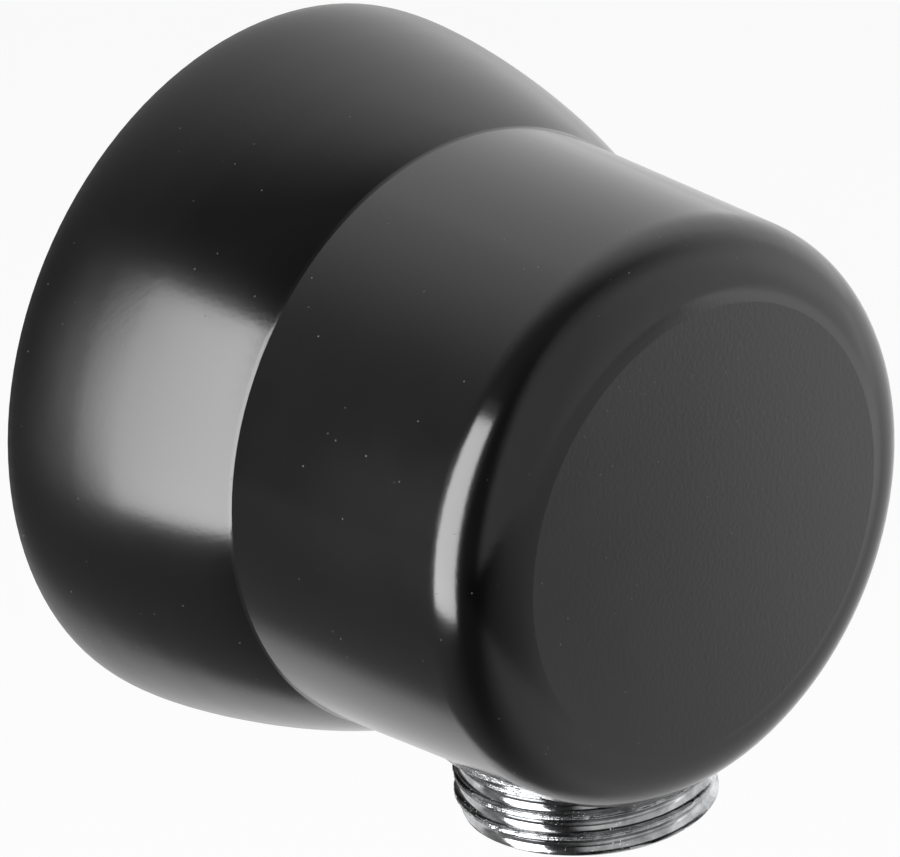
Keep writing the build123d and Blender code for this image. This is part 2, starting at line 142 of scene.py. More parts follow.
def small_specks():
    """Tiny sparse specks, as dust that settled on a finish: a mask from 0 to 1."""
    group, given, out = new_group(
        "small specks",
        {"Spacing": 800.0, "Size": 0.07, "Share": 0.5},
        {"Mask": "NodeSocketFloat"},
    )
    links = group.links
    place = add_node(group, "ShaderNodeTexCoord")
    cells = add_node(group, "ShaderNodeTexVoronoi", {"feature": "F1"})
    links.new(place.outputs["Object"], cells.inputs["Vector"])
    links.new(given.outputs["Spacing"], cells.inputs["Scale"])
    near = add_node(group, "ShaderNodeMath", {"operation": "LESS_THAN"})
    links.new(cells.outputs["Distance"], near.inputs[0])
    links.new(given.outputs["Size"], near.inputs[1])
    shade = add_node(group, "ShaderNodeSeparateColor")
    links.new(cells.outputs["Color"], shade.inputs["Color"])
    chosen = add_node(group, "ShaderNodeMath", {"operation": "LESS_THAN"})
    links.new(shade.outputs["Red"], chosen.inputs[0])
    links.new(given.outputs["Share"], chosen.inputs[1])
    both = add_node(group, "ShaderNodeMath", {"operation": "MULTIPLY"})
    links.new(near.outputs["Value"], both.inputs[0])
    links.new(chosen.outputs["Value"], both.inputs[1])
    faint = add_node(group, "ShaderNodeMath", {"operation": "MULTIPLY"})
    links.new(both.outputs["Value"], faint.inputs[0])
    links.new(shade.outputs["Green"], faint.inputs[1])
    links.new(faint.outputs["Value"], out.inputs["Mask"])
    return group


def uneven_finish():
    """Soft cloudy unevenness and a fine grain, both centred on 0.5."""
    group, given, out = new_group(
        "uneven finish",
        {"Cloud size": 120.0, "Grain size": 4000.0},
        {"Cloud": "NodeSocketFloat", "Grain": "NodeSocketFloat"},
    )
    links = group.links
    place = add_node(group, "ShaderNodeTexCoord")
    cloud = add_node(group, "ShaderNodeTexNoise", inputs={"Detail": 3.0, "Roughness": 0.55})
    grain = add_node(group, "ShaderNodeTexNoise", inputs={"Detail": 2.0, "Roughness": 0.6})
    for texture, size, label in ((cloud, "Cloud size", "Cloud"), (grain, "Grain size", "Grain")):
        links.new(place.outputs["Object"], texture.inputs["Vector"])
        links.new(given.outputs[size], texture.inputs["Scale"])
        links.new(texture.outputs["Fac"], out.inputs[label])
    return group


specks_group = small_specks()
uneven_group = uneven_finish()


def satin_black_paint():
    """Sprayed satin black: hardly any body colour, a soft sheen that is rougher near the wall, with
    painted shade that dims its highlight towards the wall, faint orange peel and some dust."""
    material, tree, surface = new_material("satin black paint")
    links = tree.links
    surface.inputs["IOR"].default_value = 1.56
    uneven = place_group(tree, uneven_group, Cloud_size=90.0, Grain_size=2600.0)
    specks = place_group(tree, specks_group, Spacing=800.0, Size=0.06, Share=0.6)

    body = add_node(
        tree,
        "ShaderNodeMix",
        {"data_type": "RGBA"},
        {"A": (0.0010, 0.0010, 0.0011, 1.0), "B": (0.0020, 0.0020, 0.0021, 1.0)},
    )
    links.new(uneven.outputs["Cloud"], body.inputs["Factor"])
    dusty = add_node(tree, "ShaderNodeMix", {"data_type": "RGBA"}, {"B": (0.07, 0.07, 0.068, 1.0)})
    links.new(specks.outputs["Mask"], dusty.inputs["Factor"])
    links.new(body.outputs["Result"], dusty.inputs["A"])
    links.new(dusty.outputs["Result"], surface.inputs["Base Color"])

    sheen = add_node(
        tree,
        "ShaderNodeMapRange",
        inputs={"From Min": 0.3, "From Max": 0.7, "To Min": 0.145, "To Max": 0.175},
    )
    links.new(uneven.outputs["Cloud"], sheen.inputs["Value"])
    dull = add_node(tree, "ShaderNodeMath", {"operation": "MULTIPLY_ADD"}, {1: 0.3})
    links.new(specks.outputs["Mask"], dull.inputs[0])
    links.new(sheen.outputs["Result"], dull.inputs[2])
    place = add_node(tree, "ShaderNodeTexCoord")
    depth = add_node(tree, "ShaderNodeSeparateXYZ")
    links.new(place.outputs["Object"], depth.inputs["Vector"])
    dry = add_node(
        tree,
        "ShaderNodeMapRange",
        inputs={"From Min": -0.021, "From Max": -0.006, "To Min": 0.0, "To Max": 0.10},
    )
    links.new(depth.outputs["Y"], dry.inputs["Value"])
    coat = add_node(tree, "ShaderNodeMath", {"operation": "ADD"})
    links.new(dull.outputs["Value"], coat.inputs[0])
    links.new(dry.outputs["Result"], coat.inputs[1])
    links.new(coat.outputs["Value"], surface.inputs["Roughness"])
    # Painted shade: the paint's specular level falls from 0.5 to 0.23 towards the wall, which dims
    # the dome's highlight there.
    sheen_dimmed_to_wall = add_node(
        tree,
        "ShaderNodeMapRange",
        inputs={"From Min": -0.022, "From Max": -0.002, "To Min": 0.5, "To Max": 0.23},
    )
    links.new(depth.outputs["Y"], sheen_dimmed_to_wall.inputs["Value"])
    links.new(sheen_dimmed_to_wall.outputs["Result"], surface.inputs["Specular IOR Level"])

    peel = add_node(tree, "ShaderNodeBump", inputs={"Strength": 0.10, "Distance": 0.00004})
    links.new(uneven.outputs["Grain"], peel.inputs["Height"])
    links.new(peel.outputs["Normal"], surface.inputs["Normal"])
    return material


repaint(node["housing"], satin_black_paint())


# ---------------------------------------------------------------- hose outlet nipple
# Turned from brass bar and chrome plated, pressed up into the elbow and held by its collar. The
# hose nut runs on its G 1/2 thread, which is cut as a true helix here; the crests are nicked.
thread_pitch = 0.001814
thread_crest = 0.0104775
thread_valley = 0.0098575
round_steps = 288
dent_scale = 1500.0
torn_scale = 4200.0


def thread_outline(pitch, crest, valley):
    """Points (radius, height) down one pitch: a crest with its seam, and a rounded valley."""
    half_mouth = 0.405 * pitch
    seam_depth, seam_width, lip = 0.06e-3, 0.07e-3, 0.01e-3
    corner_depth, corner_out, corner_in = 0.03e-3, 0.02e-3, 0.08e-3
    depth = crest - valley
    bottom_radius = (half_mouth**2 + depth**2) / (2 * depth)
    half_angle = math.asin(half_mouth / bottom_radius)
    upper_edge = pitch / 2 - half_mouth
    outline = [
        (crest - seam_depth, 0.0),
        (crest - lip, seam_width),
        (crest, upper_edge - corner_in),
        (crest - corner_depth, upper_edge - corner_out),
    ]
    for share in (-0.92, -0.78, -0.62, -0.46, -0.3, -0.15, 0.0, 0.15, 0.3, 0.46, 0.62, 0.78, 0.92):
        angle = share * half_angle
        outline.append(
            (
                valley + bottom_radius * (1 - math.cos(angle)),
                pitch / 2 + bottom_radius * math.sin(angle),
            )
        )
    outline.append((crest - corner_depth, pitch - upper_edge + corner_out))
    outline.append((crest, pitch - upper_edge + corner_in))
    outline.append((crest - lip, pitch - seam_width))
    return outline


def helical_thread(bm, top, end, axis_at, run_out, chamfer, nicks, start_turn):
    """A helical thread skin round a vertical axis between two heights, with its top fading
    out into the crest radius over run_out and its end cut to a cone. It stays open at both."""
    outline = thread_outline(thread_pitch, thread_crest, thread_valley)
    turns = int((top - end) / thread_pitch) + 4
    chain = []
    for turn in range(turns):
        for radius, height in outline:
            z = top + (1.5 + start_turn - turn) * thread_pitch - height
            chain.append(bm.verts.new((axis_at[0] + radius, axis_at[1], z)))
    line = [bm.edges.new(pair) for pair in zip(chain, chain[1:])]
    bmesh.ops.spin(
        bm,
        geom=chain + line,
        cent=(axis_at[0], axis_at[1], 0.0),
        axis=(0.0, 0.0, 1.0),
        dvec=(0.0, 0.0, thread_pitch / round_steps),
        angle=2 * math.pi,
        steps=round_steps,
        use_merge=False,
        use_duplicate=False,
    )
    bmesh.ops.remove_doubles(bm, verts=bm.verts[:], dist=2e-6)
    for height, side in ((top, 1.0), (end, -1.0)):
        bmesh.ops.bisect_plane(
            bm,
            geom=bm.verts[:] + bm.edges[:] + bm.faces[:],
            dist=1e-8,
            plane_co=(0.0, 0.0, height),
            plane_no=(0.0, 0.0, side),
            clear_outer=True,
        )
    for vert in bm.verts:
        x, y = vert.co.x - axis_at[0], vert.co.y - axis_at[1]
        radius = math.hypot(x, y)
        wear = max(0.0, (radius - thread_valley) / (thread_crest - thread_valley))
        dent = max(0.0, noise.noise(vert.co * dent_scale)) ** 2 * 4.0
        torn = max(0.0, noise.noise(vert.co * torn_scale)) ** 2 * 2.0
        wanted = radius - nicks * wear**3 * (dent + torn)
        fade = max(0.0, 1.0 - (top - vert.co.z) / run_out)
        wanted = max(wanted, thread_valley + (thread_crest - thread_valley) * fade)
        wanted = min(wanted, thread_crest - max(0.0, chamfer - (vert.co.z - end)))
        vert.co.x = axis_at[0] + x * wanted / radius
        vert.co.y = axis_at[1] + y * wanted / radius


def turned(bm, outline, axis_at):
    """A skin turned round a vertical axis from (radius, height) points."""
    chain = [bm.verts.new((axis_at[0] + radius, axis_at[1], height)) for radius, height in outline]
    line = [bm.edges.new(pair) for pair in zip(chain, chain[1:])]
    bmesh.ops.spin(
        bm,
        geom=chain + line,
        cent=(axis_at[0], axis_at[1], 0.0),
        axis=(0.0, 0.0, 1.0),
        dvec=(0.0, 0.0, 0.0),
        angle=2 * math.pi,
        steps=round_steps,
        use_merge=True,
        use_duplicate=False,
    )


def open_edges_at(bm, height):
    """The boundary edges that lie at one height."""
    return [
        edge
        for edge in bm.edges
        if edge.is_boundary and all(abs(vert.co.z - height) < 1e-7 for vert in edge.verts)
    ]


def walk_round(edges, axis_at):
    """The corners of one open loop in order round a vertical axis, each with its running angle."""
    beside = {}
    for edge in edges:
        for vert in edge.verts:
            beside.setdefault(vert, []).append(edge.other_vert(vert))

    def bearing(vert):
        return math.atan2(vert.co.y - axis_at[1], vert.co.x - axis_at[0])

    def turn_to(vert, other):
        return math.remainder(bearing(other) - bearing(vert), 2 * math.pi)

    start = min(beside, key=lambda vert: abs(bearing(vert)))
    here, after = start, max(beside[start], key=lambda other: turn_to(start, other))
    angle = bearing(start)
    walk = [(start, angle)]
    while True:
        angle += turn_to(here, after)
        walk.append((after, angle))
        if after is start:
            return walk
        here, after = after, next(other for other in beside[after] if other is not here)


def close_ring(bm, height, middle, axis_at):
    """Fills the flat ring between the two open loops at one height, which middle tells apart."""
    edges = open_edges_at(bm, height)
    inner, outer = [], []
    for edge in edges:
        corner = edge.verts[0].co
        away = math.hypot(corner.x - axis_at[0], corner.y - axis_at[1])
        (inner if away < middle else outer).append(edge)
    near, far = walk_round(inner, axis_at), walk_round(outer, axis_at)
    i = j = 0
    while i < len(near) - 1 or j < len(far) - 1:
        if j == len(far) - 1 or (i < len(near) - 1 and near[i + 1][1] <= far[j + 1][1]):
            bm.faces.new((near[i][0], near[i + 1][0], far[j][0]))
            i += 1
        else:
            bm.faces.new((near[i][0], far[j + 1][0], far[j][0]))
            j += 1


def finish_piece(bm, name, smooth_angle):
    """Merges, turns the faces outwards and makes the object, smooth where edges are blunt."""
    bmesh.ops.remove_doubles(bm, verts=bm.verts[:], dist=1e-6)
    bmesh.ops.dissolve_degenerate(bm, dist=1e-7, edges=bm.edges[:])
    bmesh.ops.recalc_face_normals(bm, faces=bm.faces[:])
    for face in bm.faces:
        face.smooth = True
    for edge in bm.edges:
        edge.smooth = edge.is_manifold and edge.calc_face_angle(0.0) < math.radians(smooth_angle)
    mesh = bpy.data.meshes.new(name)
    bm.to_mesh(mesh)
    bm.free()
    piece = bpy.data.objects.new(name, mesh)
    bpy.context.scene.collection.objects.link(piece)
    return piece


nipple_low, nipple_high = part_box("outlet_nipple")
nipple_axis = ((nipple_low.x + nipple_high.x) / 2, (nipple_low.y + nipple_high.y) / 2)
nipple_end = nipple_low.z
nipple_top = nipple_high.z
collar_radius = (nipple_high.x - nipple_low.x) / 2
thread_length = 0.0067
collar_thickness = 0.0013
thread_top = nipple_end + thread_length
collar_top = thread_top + collar_thickness
run_out = 0.0006
end_chamfer = 0.0004
nick_depth = 0.00006
start_turn = 0.12
collar_edge = 0.0001
mouth_edge = 0.0002
spigot_edge = 0.0005
spigot_radius = 0.0096
ring_low, ring_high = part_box("outlet_o_ring")
ring_thickness = 2 * 0.00066
ring_groove_floor = ring_high.x - nipple_axis[0] - ring_thickness
ring_groove_half = 0.0009
ring_middle = (ring_low.z + ring_high.z) / 2
valve_low, valve_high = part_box("valve_cage")
valve_top = valve_high.z
valve_end = valve_low.z
ring_slot_width = 0.00115
ring_slot_end = valve_end - ring_slot_width
bore_radius = 0.0072
inlet_radius = 0.0062
slot_radius = 0.0078

outlet = bmesh.new()
helical_thread(
    outlet, thread_top, nipple_end, nipple_axis, run_out, end_chamfer, nick_depth, start_turn
)
upper = [
    (collar_radius - collar_edge, thread_top),
    (collar_radius, thread_top + collar_edge),
    (collar_radius, collar_top - collar_edge),
    (collar_radius - collar_edge, collar_top),
    (spigot_radius, collar_top),
    (spigot_radius, ring_middle - ring_groove_half),
    (ring_groove_floor, ring_middle - ring_groove_half),
    (ring_groove_floor, ring_middle + ring_groove_half),
    (spigot_radius, ring_middle + ring_groove_half),
    (spigot_radius, nipple_top - spigot_edge),
    (spigot_radius - spigot_edge, nipple_top),
    (inlet_radius, nipple_top),
    (inlet_radius, valve_top),
    (bore_radius, valve_top),
    (bore_radius, valve_end),
    (slot_radius, valve_end),
    (slot_radius, ring_slot_end),
    (bore_radius, ring_slot_end),
    (bore_radius, nipple_end + mouth_edge),
    (bore_radius + mouth_edge, nipple_end),
]
turned(outlet, upper, nipple_axis)
close_ring(outlet, thread_top, (thread_crest + collar_radius) / 2, nipple_axis)
close_ring(outlet, nipple_end, (bore_radius + thread_valley) / 2, nipple_axis)
outlet_piece = finish_piece(outlet, "outlet_nipple_threaded", 35.0)


def worn_edges():
    """Where a surface is at its outermost from an axis: a mask for crests, from two radii."""
    group, given, out = new_group(
        "outer crests",
        {"Axis X": 0.0, "Axis Y": 0.0, "Inner": 0.009, "Outer": 0.010},
        {"Mask": "NodeSocketFloat"},
    )
    links = group.links
    place = add_node(group, "ShaderNodeTexCoord")
    apart = add_node(group, "ShaderNodeSeparateXYZ")
    links.new(place.outputs["Object"], apart.inputs["Vector"])
    away = []
    for axis in ("X", "Y"):
        part = add_node(group, "ShaderNodeMath", {"operation": "SUBTRACT"})
        links.new(apart.outputs[axis], part.inputs[0])
        links.new(given.outputs["Axis " + axis], part.inputs[1])
        square = add_node(group, "ShaderNodeMath", {"operation": "MULTIPLY"})
        links.new(part.outputs["Value"], square.inputs[0])
        links.new(part.outputs["Value"], square.inputs[1])
        away.append(square)
    total = add_node(group, "ShaderNodeMath", {"operation": "ADD"})
    links.new(away[0].outputs["Value"], total.inputs[0])
    links.new(away[1].outputs["Value"], total.inputs[1])
    radius = add_node(group, "ShaderNodeMath", {"operation": "SQRT"})
    links.new(total.outputs["Value"], radius.inputs[0])
    mask = add_node(group, "ShaderNodeMapRange", inputs={"To Min": 0.0, "To Max": 1.0})
    links.new(radius.outputs["Value"], mask.inputs["Value"])
    links.new(given.outputs["Inner"], mask.inputs["From Min"])
    links.new(given.outputs["Outer"], mask.inputs["From Max"])
    links.new(mask.outputs["Result"], out.inputs["Mask"])
    return group


def chrome_plate():
    """Bright chrome over a cut thread: mirror-like flanks with pits, and torn, nicked crests."""
    material, tree, surface = new_material("chrome plate")
    links = tree.links
    surface.inputs["Metallic"].default_value = 1.0
    uneven = place_group(tree, uneven_group, Cloud_size=420.0, Grain_size=9000.0)
    pits = place_group(tree, specks_group, Spacing=4200.0, Size=0.30, Share=0.40)
    crest = place_group(
        tree,
        worn_group,
        Axis_X=nipple_axis[0],
        Axis_Y=nipple_axis[1],
        Inner=thread_crest - 0.00016,
        Outer=thread_crest - 0.00002,
    )
    tone = add_node(
        tree,
        "ShaderNodeMix",
        {"data_type": "RGBA"},
        {"A": (0.30, 0.305, 0.315, 1.0), "B": (0.60, 0.605, 0.61, 1.0)},
    )
    soft = add_node(tree, "ShaderNodeMapRange", inputs={"From Min": 0.35, "From Max": 0.65})
    links.new(uneven.outputs["Cloud"], soft.inputs["Value"])
    links.new(soft.outputs["Result"], tone.inputs["Factor"])
    links.new(tone.outputs["Result"], surface.inputs["Base Color"])
    gloss = add_node(
        tree,
        "ShaderNodeMapRange",
        inputs={"From Min": 0.0, "From Max": 1.0, "To Min": 0.13, "To Max": 0.20},
    )
    links.new(crest.outputs["Mask"], gloss.inputs["Value"])
    links.new(gloss.outputs["Result"], surface.inputs["Roughness"])
    torn = add_node(tree, "ShaderNodeTexNoise", inputs={"Scale": 5200.0, "Detail": 3.0})
    place = add_node(tree, "ShaderNodeTexCoord")
    links.new(place.outputs["Object"], torn.inputs["Vector"])
    deep = add_node(tree, "ShaderNodeMath", {"operation": "MULTIPLY"})
    links.new(torn.outputs["Fac"], deep.inputs[0])
    links.new(crest.outputs["Mask"], deep.inputs[1])
    both = add_node(tree, "ShaderNodeMath", {"operation": "MULTIPLY_ADD"}, {1: 0.05})
    links.new(uneven.outputs["Grain"], both.inputs[0])
    links.new(deep.outputs["Value"], both.inputs[2])
    pitted = add_node(tree, "ShaderNodeMath", {"operation": "MULTIPLY_ADD"}, {1: -0.9})
    links.new(pits.outputs["Mask"], pitted.inputs[0])
    links.new(both.outputs["Value"], pitted.inputs[2])
    bump = add_node(tree, "ShaderNodeBump", inputs={"Strength": 0.55, "Distance": 0.00008})
    links.new(pitted.outputs["Value"], bump.inputs["Height"])
    links.new(bump.outputs["Normal"], surface.inputs["Normal"])
    return material


worn_group = worn_edges()
repaint(outlet_piece, chrome_plate())
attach(outlet_piece, "outlet_side")
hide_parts("outlet_nipple")


# ---------------------------------------------------------------- wall nipple
# Turned brass, screwed into the pipe fitting with a hexagon key. The turning tool leaves fine rings
# round its axis, which runs into the wall.
def turning_marks():
    """Fine rings round an axis along Z, from the distance to it and the height, about 0.5."""
    group = bpy.data.node_groups.new("turning marks", "ShaderNodeTree")
    group.interface.new_socket("Place", in_out="INPUT", socket_type="NodeSocketVector")
    fine = group.interface.new_socket("Fineness", in_out="INPUT", socket_type="NodeSocketFloat")
    fine.default_value = 9000.0
    group.interface.new_socket("Rings", in_out="OUTPUT", socket_type="NodeSocketFloat")
    given = add_node(group, "NodeGroupInput")
    out = add_node(group, "NodeGroupOutput")
    links = group.links
    apart = add_node(group, "ShaderNodeSeparateXYZ")
    links.new(given.outputs["Place"], apart.inputs["Vector"])
    flat = add_node(group, "ShaderNodeCombineXYZ")
    links.new(apart.outputs["X"], flat.inputs["X"])
    links.new(apart.outputs["Y"], flat.inputs["Y"])
    radius = add_node(group, "ShaderNodeVectorMath", {"operation": "LENGTH"})
    links.new(flat.outputs["Vector"], radius.inputs[0])
    spot = add_node(group, "ShaderNodeCombineXYZ")
    links.new(radius.outputs["Value"], spot.inputs["X"])
    links.new(apart.outputs["Z"], spot.inputs["Y"])
    rings = add_node(group, "ShaderNodeTexNoise", inputs={"Detail": 2.0, "Roughness": 0.7})
    links.new(spot.outputs["Vector"], rings.inputs["Vector"])
    links.new(given.outputs["Fineness"], rings.inputs["Scale"])
    links.new(rings.outputs["Fac"], out.inputs["Rings"])
    return group


def turned_metal(
    name, dark, bright, roughness, fineness, turn=(0.0, 0.0, 0.0), centre=(0.0, 0.0, 0.0)
):
    """A turned metal: rings round its axis, soft stains from handling and a fine grain."""
    material, tree, surface = new_material(name)
    links = tree.links
    surface.inputs["Metallic"].default_value = 1.0
    place = add_node(tree, "ShaderNodeTexCoord")
    centred = add_node(tree, "ShaderNodeMapping", {"vector_type": "TEXTURE"})
    centred.inputs["Location"].default_value = centre
    centred.inputs["Rotation"].default_value = turn
    links.new(place.outputs["Object"], centred.inputs["Vector"])
    marks = place_group(tree, marks_group, Fineness=fineness)
    links.new(centred.outputs["Vector"], marks.inputs["Place"])
    uneven = place_group(tree, uneven_group, Cloud_size=160.0, Grain_size=7000.0)
    tone = add_node(tree, "ShaderNodeMix", {"data_type": "RGBA"}, {"A": dark, "B": bright})
    stain = add_node(tree, "ShaderNodeMapRange", inputs={"From Min": 0.35, "From Max": 0.6})
    links.new(uneven.outputs["Cloud"], stain.inputs["Value"])
    links.new(stain.outputs["Result"], tone.inputs["Factor"])
    links.new(tone.outputs["Result"], surface.inputs["Base Color"])
    low, high = roughness
    dull = add_node(
        tree,
        "ShaderNodeMapRange",
        inputs={"From Min": 0.3, "From Max": 0.7, "To Min": low, "To Max": high},
    )
    links.new(marks.outputs["Rings"], dull.inputs["Value"])
    links.new(dull.outputs["Result"], surface.inputs["Roughness"])
    cut = add_node(tree, "ShaderNodeMath", {"operation": "MULTIPLY_ADD"}, {1: 0.25})
    links.new(uneven.outputs["Grain"], cut.inputs[0])
    links.new(marks.outputs["Rings"], cut.inputs[2])
    bump = add_node(tree, "ShaderNodeBump", inputs={"Strength": 0.35, "Distance": 0.00004})
    links.new(cut.outputs["Value"], bump.inputs["Height"])
    links.new(bump.outputs["Normal"], surface.inputs["Normal"])
    return material


marks_group = turning_marks()
into_wall = (math.pi / 2, 0.0, 0.0)
turned_brass = turned_metal(
    "turned brass",
    (0.46, 0.31, 0.12, 1.0),
    (0.72, 0.54, 0.27, 1.0),
    (0.20, 0.36),
    6500.0,
    turn=into_wall,
)
repaint(node["wall_nipple"], turned_brass)


# ---------------------------------------------------------------- o-rings, washers and gasket
# Moulded black rubber. The o-rings are greased and shine a little; the flat washers and the foam
# gasket behind the rim are duller, with the bloom that stored rubber gets.
def moulded_rubber(name, fresh, bloomed, roughness, depth):
    """Black rubber: matt, with a mould grain, a pale bloom in patches and a little dust."""
    material, tree, surface = new_material(name)
    links = tree.links
    surface.inputs["IOR"].default_value = 1.52
    uneven = place_group(tree, uneven_group, Cloud_size=260.0, Grain_size=5200.0)
    specks = place_group(tree, specks_group, Spacing=1500.0, Size=0.09, Share=0.5)
    bloom = add_node(tree, "ShaderNodeMapRange", inputs={"From Min": 0.42, "From Max": 0.68})
    links.new(uneven.outputs["Cloud"], bloom.inputs["Value"])
    tone = add_node(tree, "ShaderNodeMix", {"data_type": "RGBA"}, {"A": fresh, "B": bloomed})
    links.new(bloom.outputs["Result"], tone.inputs["Factor"])
    dusty = add_node(tree, "ShaderNodeMix", {"data_type": "RGBA"}, {"B": (0.09, 0.088, 0.083, 1.0)})
    links.new(specks.outputs["Mask"], dusty.inputs["Factor"])
    links.new(tone.outputs["Result"], dusty.inputs["A"])
    links.new(dusty.outputs["Result"], surface.inputs["Base Color"])
    low, high = roughness
    dull = add_node(
        tree,
        "ShaderNodeMapRange",
        inputs={"From Min": 0.3, "From Max": 0.7, "To Min": low, "To Max": high},
    )
    links.new(uneven.outputs["Cloud"], dull.inputs["Value"])
    links.new(dull.outputs["Result"], surface.inputs["Roughness"])
    skin = add_node(tree, "ShaderNodeBump", inputs={"Strength": 0.5, "Distance": depth})
    links.new(uneven.outputs["Grain"], skin.inputs["Height"])
    links.new(skin.outputs["Normal"], surface.inputs["Normal"])
    return material


greased_rubber = moulded_rubber(
    "greased rubber", (0.010, 0.010, 0.010, 1.0), (0.018, 0.018, 0.018, 1.0), (0.28, 0.42), 0.00002
)
for ring in ("rear_o_ring", "front_o_ring", "plug_o_ring", "outlet_o_ring", "cage_o_ring"):
    repaint(node[ring], greased_rubber)
washer_rubber = moulded_rubber(
    "washer rubber", (0.014, 0.014, 0.014, 1.0), (0.030, 0.030, 0.029, 1.0), (0.50, 0.66), 0.00004
)
for washer in ("wall_washer", "collar_washer", "poppet_seal"):
    repaint(node[washer], washer_rubber)
gasket_foam = moulded_rubber(
    "gasket foam", (0.020, 0.020, 0.020, 1.0), (0.042, 0.042, 0.041, 1.0), (0.75, 0.92), 0.00012
)
repaint(node["wall_gasket"], gasket_foam)


# ---------------------------------------------------------------- elbow and its plug
# The elbow is hot-pressed brass, sand-blasted dull outside. The plug that closes its front bore is
# turned from bar and screwed in.
def pressed_brass():
    """Blasted brass: a fine even grit, browner where it has been handled."""
    material, tree, surface = new_material("pressed brass")
    links = tree.links
    surface.inputs["Metallic"].default_value = 1.0
    uneven = place_group(tree, uneven_group, Cloud_size=130.0, Grain_size=3600.0)
    tone = add_node(
        tree,
        "ShaderNodeMix",
        {"data_type": "RGBA"},
        {"A": (0.34, 0.23, 0.10, 1.0), "B": (0.60, 0.44, 0.21, 1.0)},
    )
    handled = add_node(tree, "ShaderNodeMapRange", inputs={"From Min": 0.32, "From Max": 0.62})
    links.new(uneven.outputs["Cloud"], handled.inputs["Value"])
    links.new(handled.outputs["Result"], tone.inputs["Factor"])
    links.new(tone.outputs["Result"], surface.inputs["Base Color"])
    dull = add_node(
        tree,
        "ShaderNodeMapRange",
        inputs={"From Min": 0.3, "From Max": 0.7, "To Min": 0.44, "To Max": 0.58},
    )
    links.new(uneven.outputs["Grain"], dull.inputs["Value"])
    links.new(dull.outputs["Result"], surface.inputs["Roughness"])
    grit = add_node(tree, "ShaderNodeBump", inputs={"Strength": 0.6, "Distance": 0.00009})
    links.new(uneven.outputs["Grain"], grit.inputs["Height"])
    links.new(grit.outputs["Normal"], surface.inputs["Normal"])
    return material


repaint(node["elbow_body"], pressed_brass())
repaint(node["front_plug"], turned_brass)


# ---------------------------------------------------------------- strainer
# A moulded grey ring that clips into the mouth of the wall nipple and holds a disc of punched
# stainless sheet against grit from the pipe.
def moulded_plastic(name, tint, paler, roughness):
    """Moulded plastic: a faint eroded mould texture and a slight cloud in its colour."""
    material, tree, surface = new_material(name)
    links = tree.links
    surface.inputs["IOR"].default_value = 1.49
    uneven = place_group(tree, uneven_group, Cloud_size=220.0, Grain_size=6500.0)
    tone = add_node(tree, "ShaderNodeMix", {"data_type": "RGBA"}, {"A": tint, "B": paler})
    links.new(uneven.outputs["Cloud"], tone.inputs["Factor"])
    links.new(tone.outputs["Result"], surface.inputs["Base Color"])
    low, high = roughness
    dull = add_node(
        tree,
        "ShaderNodeMapRange",
        inputs={"From Min": 0.3, "From Max": 0.7, "To Min": low, "To Max": high},
    )
    links.new(uneven.outputs["Grain"], dull.inputs["Value"])
    links.new(dull.outputs["Result"], surface.inputs["Roughness"])
    skin = add_node(tree, "ShaderNodeBump", inputs={"Strength": 0.4, "Distance": 0.00002})
    links.new(uneven.outputs["Grain"], skin.inputs["Height"])
    links.new(skin.outputs["Normal"], surface.inputs["Normal"])
    return material


def rolled_steel(name, dark, bright, roughness, stretch):
    """Bare or zinc-plated steel: streaks along the way it was rolled or drawn, and fine grain."""
    material, tree, surface = new_material(name)
    links = tree.links
    surface.inputs["Metallic"].default_value = 1.0
    place = add_node(tree, "ShaderNodeTexCoord")
    drawn = add_node(tree, "ShaderNodeMapping")
    drawn.inputs["Scale"].default_value = stretch
    links.new(place.outputs["Object"], drawn.inputs["Vector"])
    streak = add_node(tree, "ShaderNodeTexNoise", inputs={"Scale": 1.0, "Detail": 3.0})
    links.new(drawn.outputs["Vector"], streak.inputs["Vector"])
    uneven = place_group(tree, uneven_group, Cloud_size=180.0, Grain_size=8000.0)
    tone = add_node(tree, "ShaderNodeMix", {"data_type": "RGBA"}, {"A": dark, "B": bright})
    blotch = add_node(tree, "ShaderNodeMapRange", inputs={"From Min": 0.35, "From Max": 0.65})
    links.new(uneven.outputs["Cloud"], blotch.inputs["Value"])
    links.new(blotch.outputs["Result"], tone.inputs["Factor"])
    links.new(tone.outputs["Result"], surface.inputs["Base Color"])
    low, high = roughness
    dull = add_node(
        tree,
        "ShaderNodeMapRange",
        inputs={"From Min": 0.3, "From Max": 0.7, "To Min": low, "To Max": high},
    )
    links.new(streak.outputs["Fac"], dull.inputs["Value"])
    links.new(dull.outputs["Result"], surface.inputs["Roughness"])
    rough = add_node(tree, "ShaderNodeMath", {"operation": "MULTIPLY_ADD"}, {1: 0.4})
    links.new(uneven.outputs["Grain"], rough.inputs[0])
    links.new(streak.outputs["Fac"], rough.inputs[2])
    bump = add_node(tree, "ShaderNodeBump", inputs={"Strength": 0.4, "Distance": 0.00003})
    links.new(rough.outputs["Value"], bump.inputs["Height"])
    links.new(bump.outputs["Normal"], surface.inputs["Normal"])
    return material


strainer_grey = moulded_plastic(
    "strainer plastic", (0.22, 0.23, 0.245, 1.0), (0.27, 0.28, 0.295, 1.0), (0.42, 0.56)
)
repaint(node["strainer_frame"], strainer_grey)
punched_steel = rolled_steel(
    "punched stainless",
    (0.40, 0.40, 0.405, 1.0),
    (0.58, 0.58, 0.58, 1.0),
    (0.24, 0.38),
    (700.0, 700.0, 9000.0),
)
repaint(node["strainer_mesh"], punched_steel)


